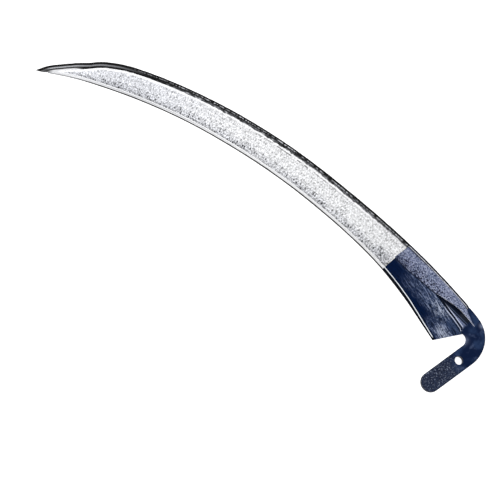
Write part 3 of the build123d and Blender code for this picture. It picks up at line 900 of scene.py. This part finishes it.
def heel_enamel():
    """Blue enamel on the heel's web, thin over the draw marks, darkened towards the edge by painted shade, with
    painted sheen near the heel and painted highlights and shadows by the tongue and the leaf.
    """
    s = Shader("blue_enamel_heel")
    streak = s.noise(s.blade_vector(0.14, 1.0), 800, 4)
    patch = s.noise(s.blade_vector(0.6, 1.0), 90, 4)
    fleck = s.noise(s.blade_vector(0.5, 1.0), 1000, 2)
    across, along = s.number("across"), s.number("along")
    worked = s.math("ADD", across, s.math("MULTIPLY", s.math("SUBTRACT", patch, 0.5), 0.9))
    # painted shade: darker towards the edge, where the dished web tilts away from the light
    painted_edge_shade = s.math("MULTIPLY", s.ramp(worked, 0.50, 0.05), s.ramp(along, 0.0, 0.030, 0.35, 1.0))
    far = s.math("MULTIPLY", s.ramp(along, 0.040, 0.080), s.ramp(across, 0.68, 0.36))
    painted_edge_shade = s.math("MAXIMUM", painted_edge_shade, far)
    tone = s.mix(painted_edge_shade, MID_BLUE, NAVY)
    heel = s.math("MULTIPLY", s.ramp(along, 0.030, 0.002), s.ramp(across, 0.75, 0.35))
    open_share = s.math("MAXIMUM", s.math("SUBTRACT", 1.0, painted_edge_shade), heel)
    light = s.math("MULTIPLY", s.ramp(streak, 0.50, 0.62), open_share)
    flecks = s.math("MULTIPLY", s.ramp(fleck, 0.54, 0.66), s.math("MULTIPLY", open_share, 0.7))
    light = s.math("ADD", light, flecks, True)
    # painted sheen: near the heel the light streaks turn paler and a lit patch is added; shade is a painted dark
    # zone beside it
    painted_sheen = s.math("MULTIPLY", s.ramp(along, 0.045, 0.020), s.ramp(across, 0.20, 0.42))
    near = s.ramp(along, 0.014, 0.004)
    shade = s.math("MULTIPLY", near, s.ramp(across, 0.34, 0.44, 0.0, 0.8))
    painted_heel_sheen = s.math("MULTIPLY", near, s.band(across, 0.0, 0.20, 0.42))
    painted_sheen = s.math("MAXIMUM", s.math("SUBTRACT", painted_sheen, near, True), painted_heel_sheen)
    light = s.math("SUBTRACT", s.math("ADD", light, s.math("MULTIPLY", painted_heel_sheen, 0.4)), shade, True)
    bright = s.mix(painted_sheen, SKY_BLUE, (0.42, 0.47, 0.60, 1.0))
    tone = s.mix(light, tone, bright)
    dark = s.math("MAXIMUM", s.ramp(streak, 0.46, 0.36), s.math("MULTIPLY", s.number("mark"), 0.9))
    dark = s.math("MAXIMUM", dark, s.ramp(fleck, 0.44, 0.34))
    tone = s.mix(s.math("MULTIPLY", dark, 0.85), tone, BLACK_BLUE)
    # painted sheen: the web's upper edge by the rib is made paler to meet the leaf's painted sheen
    tone = s.mix(s.ramp(across, 0.86, 0.97), tone, (0.14, 0.17, 0.28, 1.0))
    gap, root = s.number("below_tongue"), s.number("root_share")
    # painted light and shade by the tongue: a dark line beside the web's raised ridge, a painted highlight on the
    # ridge, painted shadow in the groove at the tongue's foot
    tone = s.mix(s.math("MULTIPLY", root, s.band(gap, 0.0018, 0.0027, 0.0038, 0.85)), tone, BLACK_BLUE)
    tone = s.mix(s.math("MULTIPLY", root, s.band(gap, 0.0006, 0.0011, 0.0018)), tone,
                 (0.66, 0.72, 0.90, 1.0))
    tone = s.mix(s.ramp(gap, 0.0006, 0.0002), tone, BLACK_BLUE)
    leaf_gap = s.number("below_leaf")
    # painted shadow: a dark line on the web just under the leaf's lip
    tone = s.mix(s.ramp(leaf_gap, 0.0016, 0.0004, 0.0, 0.85), tone, BLACK_BLUE)
    s.bump(streak, 0.12, 0.00006)
    return s.set(Base_Color=tone, Roughness=0.32, Specular_IOR_Level=0.02)


def strip_enamel():
    """The painted strip: its bevel made near black as painted shade, with a painted highlight on the ridge
    between bevel and face.
    """
    s = Shader("blue_enamel_strip")
    out, along = s.number("out"), s.number("along")
    highlight_noise = s.noise(s.blade_vector(), 110, 4)
    # the painted highlight line's place wavers along the blade
    start = s.math("ADD", s.ramp(along, -0.01, 0.07, 0.0012, 0.0030), s.math("MULTIPLY", highlight_noise, 0.0008))
    gap = s.math("SUBTRACT", out, start)
    line = s.math("MULTIPLY", s.ramp(gap, -0.0002, 0.0001), s.ramp(gap, 0.0009, 0.0007))
    line = s.math("MULTIPLY", line, s.ramp(highlight_noise, 0.30, 0.42, 0.7, 1.0))
    line = s.math("MULTIPLY", line, s.ramp(along, 0.0015, 0.0040))
    # painted shade: the bevel is made near black
    tone = s.mix(s.ramp(gap, 0.0007, 0.0016), (0.002, 0.003, 0.007, 1.0), NAVY)
    # painted highlight: a bright line on the ridge
    tone = s.mix(line, tone, (0.90, 0.95, 1.0, 1.0))
    return s.set(Base_Color=tone, Roughness=0.35, Specular_IOR_Level=0.04)


def stiffener_enamel():
    """Paler enamel on the stiffener, its paleness a painted sheen, with dark punch dimples and a painted
    highlight on its lip.
    """
    s = Shader("blue_enamel_light")
    vector = s.object_vector()
    cloud = s.noise(vector, 90, 4)
    grain = s.noise(vector, 850, 3)
    share, length = s.number("share"), s.number("length_share")
    # painted sheen: the leaf's face is given paler blues for the light its slope catches
    tone = s.mix(s.ramp(cloud, 0.3, 0.7), (0.125, 0.155, 0.26, 1.0), (0.20, 0.225, 0.355, 1.0))
    tone = s.mix(s.ramp(grain, 0.52, 0.62, 0.0, 0.85), tone, (0.42, 0.46, 0.60, 1.0))
    tone = s.mix(s.ramp(grain, 0.47, 0.38, 0.0, 0.9), tone, (0.012, 0.022, 0.06, 1.0))
    worked = s.math("MULTIPLY", s.ramp(share, 0.95, 0.30), s.ramp(length, 0.80, 0.50))
    specks = s.math("MULTIPLY", s.scattered_dots(vector, 400, 0.32, 0.48, 0.1), worked)
    tone = s.mix(specks, tone, (0.008, 0.012, 0.04, 1.0))
    shade = s.math("MULTIPLY", s.ramp(share, 0.50, 0.02), s.ramp(length, 0.36, 0.02))
    tone = s.mix(s.math("MULTIPLY", shade, s.ramp(grain, 0.35, 0.5, 1.0, 0.6)), tone, NAVY)
    tone = s.mix(s.ramp(s.number("mark"), 0.05, 0.45), tone, (0.004, 0.007, 0.025, 1.0))
    # painted highlight: a bright line along the leaf's free edge
    lip_highlight = s.math("MULTIPLY", s.number("lip"), s.ramp(grain, 0.40, 0.55))
    lip_highlight = s.math("MULTIPLY", lip_highlight, s.ramp(length, 0.45, 0.62))
    tone = s.mix(lip_highlight, tone, grey(0.75, 0.04))
    s.bump(grain, 0.15, 0.00008)
    return s.set(Base_Color=tone, Roughness=0.36, Specular_IOR_Level=0.15)


def tang_enamel():
    """Dark satin blue over a forged bar, pitted at the rounded end, with painted light and shade on its tongue
    and painted sheen at its bends.
    """
    s = Shader("blue_enamel_tang")
    vector = s.object_vector()
    grain = s.noise(vector, 750, 4)
    cloud = s.noise(vector, 75, 3)
    pitted = s.number("pitted")
    haze = s.noise(vector, 170, 4)
    tone = s.mix(s.ramp(cloud, 0.40, 0.62), (0.0010, 0.0080, 0.038, 1.0), (0.014, 0.032, 0.088, 1.0))
    tone = s.mix(s.ramp(haze, 0.54, 0.72, 0.0, 0.6), tone, (0.055, 0.08, 0.16, 1.0))
    tone = s.mix(s.math("MULTIPLY", pitted, 0.8), tone, (0.015, 0.022, 0.046, 1.0))
    pits = s.scattered_dots(vector, 560, 0.24, 0.46, 0.3)
    chalk = s.math("MAXIMUM", s.ramp(grain, 0.54, 0.66), s.scattered_dots(vector, 800, 0.1, 0.4, 0.7))
    tone = s.mix(s.math("MULTIPLY", chalk, s.math("MULTIPLY", pitted, 0.8)), tone,
                 (0.21, 0.24, 0.32, 1.0))
    dark = s.math("MAXIMUM", s.number("mark"), s.math("MULTIPLY", pits, pitted))
    tone = s.mix(s.math("MULTIPLY", dark, 0.85), tone, (0.002, 0.003, 0.012, 1.0))
    # painted dark reflection: where the surface turns away from straight up or down, the bar is darkened
    rim = s.ramp(s.upward(), 0.93, 0.55)
    tone = s.mix(s.math("MULTIPLY", rim, 0.85), tone, (0.001, 0.002, 0.008, 1.0))
    tongue, rise, ridge = s.number("tongue"), s.number("rise"), s.number("over_ridge")
    # painted light and shade on the tongue: a pale lower facet, a dark upper facet, a painted highlight along its
    # foot and painted shadow in the groove
    facet = s.mix(s.ramp(grain, 0.40, 0.62), (0.055, 0.08, 0.165, 1.0), (0.17, 0.20, 0.32, 1.0))
    facet = s.mix(s.ramp(ridge, -0.0012, -0.0004), facet, BLACK_BLUE)
    facet = s.mix(s.band(ridge, 0.0003, 0.0009, 0.0016, 0.8), facet, (0.06, 0.09, 0.17, 1.0))
    facet = s.mix(s.ramp(s.number("root_share"), 0.9, 0.3), facet, BLACK_BLUE)
    glint = s.math("MULTIPLY", s.band(rise, 0.0013, 0.0019, 0.0026), s.number("root_share"))
    facet = s.mix(glint, facet, (0.66, 0.72, 0.90, 1.0))
    facet = s.mix(s.ramp(rise, 0.0013, 0.0009), facet, BLACK_BLUE)
    # painted sheen: two lighter spots where the hook's bends catch the light
    tone = s.mix(s.math("MULTIPLY", s.number("painted_sheen"), 0.8), tone, (0.17, 0.20, 0.30, 1.0))
    tone = s.mix(tongue, tone, facet)
    s.bump(grain, 0.25, 0.00012)
    rough = s.math("ADD", 0.30, s.math("MULTIPLY", pitted, 0.15))
    return s.set(Base_Color=tone, Roughness=rough, Specular_IOR_Level=0.07)


# ---- the object --------------------------------------------------------------------------------

fine = 1.0
FINE_STEP = 0.62 * MM * fine
RIB_STEP = 0.8 * MM * fine
web_end = 503.5 * MM

steel = hammered_steel()
finish_piece(web_piece("blade_web_bare", PAINT_END, web_end, FINE_STEP, hammer_relief),
             "blade_web", steel)
finish_piece(web_piece("blade_web_painted", None, PAINT_END, 0.85 * FINE_STEP, heel_relief),
             "blade_web", heel_enamel())
finish_piece(strip_piece("cutting_edge_bare", PAINT_END, web_end, 0.4 * MM * fine),
             "cutting_edge", ground_steel())
finish_piece(strip_piece("cutting_edge_painted", None, PAINT_END, 0.4 * MM * fine),
             "cutting_edge", strip_enamel())
finish_piece(rib_piece("back_rib_bare", PAINT_END, APEX_ALONG, RIB_STEP),
             "back_rib", forge_scale())
finish_piece(rib_piece("back_rib_painted", RIB_SPAN[0] - RIB_TUCK, PAINT_END, RIB_STEP),
             "back_rib", rib_enamel())
finish_piece(stiffener_piece("heel_stiffener_leaf", 0.6 * MM * fine),
             "heel_stiffener", stiffener_enamel())
finish_piece(tang_piece("tang_bar", 0.38 * MM * fine),
             "tang", tang_enamel())


# ---- the studio --------------------------------------------------------------------------------

low, high = cad_box
middle = (low + high) / 2
length = (high - low).length


def make_floor():
    """A plain pale floor just under the blade's belly."""
    size = 40 * length
    z = low.z - 0.4 * MM
    corners = [(middle.x + sx * size, middle.y + sy * size, z) for sx, sy in ((-1, -1), (1, -1), (1, 1), (-1, 1))]
    mesh = bpy.data.meshes.new("floor")
    mesh.from_pydata(corners, [], [(0, 1, 2, 3)])
    floor = bpy.data.objects.new("floor", mesh)
    bpy.context.scene.collection.objects.link(floor)
    s = Shader("floor_paper")
    floor.data.materials.append(s.set(Base_Color=(0.93, 0.93, 0.93, 1.0), Roughness=0.9,
                                      Emission_Color=(1.0, 1.0, 1.0, 1.0), Emission_Strength=0.75))


def make_light(name, direction, distance, size, power):
    """A soft square light that shines on the blade from one direction."""
    data = bpy.data.lights.new(name, "AREA")
    data.size = size
    data.energy = power
    lamp = bpy.data.objects.new(name, data)
    bpy.context.scene.collection.objects.link(lamp)
    away = Vector(direction).normalized()
    lamp.location = middle + away * distance
    lamp.rotation_mode = "QUATERNION"
    lamp.rotation_quaternion = away.to_track_quat("Z", "Y")


def make_world():
    """Studio surroundings: bright overhead, dimmer round about, white where the camera sees them."""
    world = bpy.data.worlds.new("studio")
    bpy.context.scene.world = world
    world.use_nodes = True
    tree = world.node_tree
    where = tree.nodes.new("ShaderNodeTexCoord")
    split = tree.nodes.new("ShaderNodeSeparateXYZ")
    level = tree.nodes.new("ShaderNodeMapRange")
    for key, number in (("From Min", 0.0), ("From Max", 0.9), ("To Min", 0.45), ("To Max", 0.80)):
        level.inputs[key].default_value = number
    rays = tree.nodes.new("ShaderNodeLightPath")
    seen = tree.nodes.new("ShaderNodeMix")
    seen.inputs["B"].default_value = 1.0
    tree.links.new(where.outputs["Generated"], split.inputs[0])
    tree.links.new(split.outputs["Z"], level.inputs["Value"])
    tree.links.new(rays.outputs["Is Camera Ray"], seen.inputs["Factor"])
    tree.links.new(level.outputs["Result"], seen.inputs["A"])
    tree.links.new(seen.outputs["Result"], tree.nodes["Background"].inputs["Strength"])
    tree.nodes["Background"].inputs["Color"].default_value = (1.0, 1.0, 1.0, 1.0)


def make_camera():
    """Straight down on the blade, turned so that the point is up left and the tang low right."""
    turn = math.radians(54.2)
    right = Vector((math.cos(turn), math.sin(turn), 0))
    up = Vector((-math.sin(turn), math.cos(turn), 0))
    view_width = 0.5235
    distance = 8.0
    data = bpy.data.cameras.new("camera")
    data.sensor_width = 36
    data.lens = data.sensor_width * distance / view_width
    camera = bpy.data.objects.new("camera", data)
    bpy.context.scene.collection.objects.link(camera)
    aim = Vector((middle.x, middle.y, low.z)) - right * 17.6 * MM - up * 44.0 * MM
    camera.location = aim + Vector((0, 0, distance))
    camera.rotation_mode = "QUATERNION"
    camera.rotation_quaternion = Matrix((right, up, Vector((0, 0, 1)))).transposed().to_quaternion()
    bpy.context.scene.camera = camera


make_floor()
make_world()
make_light("key", (-0.45, 0.32, 1.0), 1.7, 1.1, 10)
make_light("fill", (0.35, -0.95, 0.75), 2.0, 1.3, 6)
make_light("glint", (-0.05, 0.42, 0.92), 2.2, 0.35, 1.5)
make_camera()
bpy.context.scene.view_settings.view_transform = "Standard"
